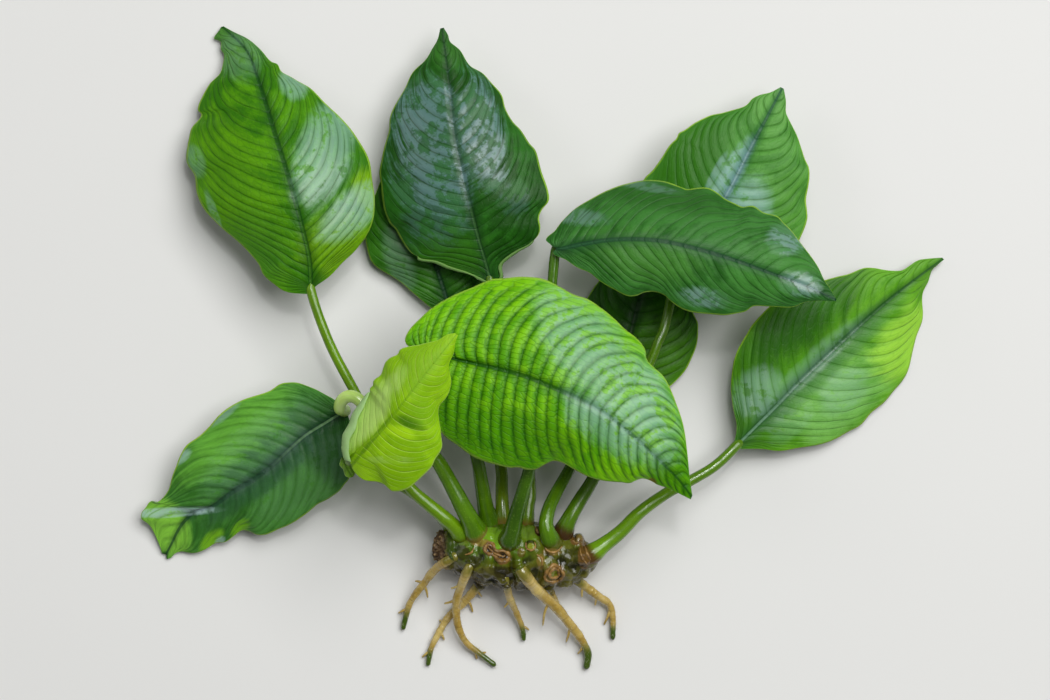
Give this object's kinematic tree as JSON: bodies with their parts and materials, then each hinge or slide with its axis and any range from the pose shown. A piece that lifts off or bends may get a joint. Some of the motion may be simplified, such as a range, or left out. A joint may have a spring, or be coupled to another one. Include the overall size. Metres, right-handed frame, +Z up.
{
  "type": "anubias plant",
  "caption": "Bare-root anubias water plant lying on its back: knobbly creeping rhizome, broad pointed leaves on curved stalks and tapering roots, to tie to wood or stone in a tank.",
  "frame": {"origin": "middle of the whole plant's box at the surface that it lies on", "axes": "+Z up from the surface, +Y from the roots to the leaf tips, +X along the widest spread of leaves, towards the growing end of the rhizome"},
  "size_m": [0.1768, 0.1422, 0.042],
  "materials": {
    "leaf_bright": "glossy waxy leaf skin",
    "leaf_dark": "glossy waxy leaf skin",
    "leaf_young": "satin young leaf skin",
    "stalk": "satin, smooth and fleshy",
    "rhizome": "satin, ringed with leaf scars",
    "root": "matt, finely wrinkled"
  },
  "bodies": {
    "root": {"blade_top_left": "leaf_bright", "blade_top": "leaf_dark", "blade_behind_top": "leaf_dark", "blade_top_right": "leaf_bright", "blade_upper_right": "leaf_dark", "blade_behind_right": "leaf_dark", "blade_right": "leaf_bright", "blade_lower_left": "leaf_dark", "blade_young": "leaf_young", "blade_front": "leaf_bright", "stalk_top_left": "stalk", "stalk_lower_left": "stalk", "stalk_front": "stalk", "stalk_behind_top": "stalk", "stalk_upper_right": "stalk", "stalk_top": "stalk", "stalk_behind_right": "stalk", "stalk_top_right": "stalk", "stalk_right": "stalk", "stalk_young": "stalk", "rhizome": "rhizome", "root_far_left": "root", "root_left": "root", "root_under_left": "root", "root_middle": "root", "root_thick": "root", "root_thin": "root", "root_right": "root"}
  },
  "joints": []
}
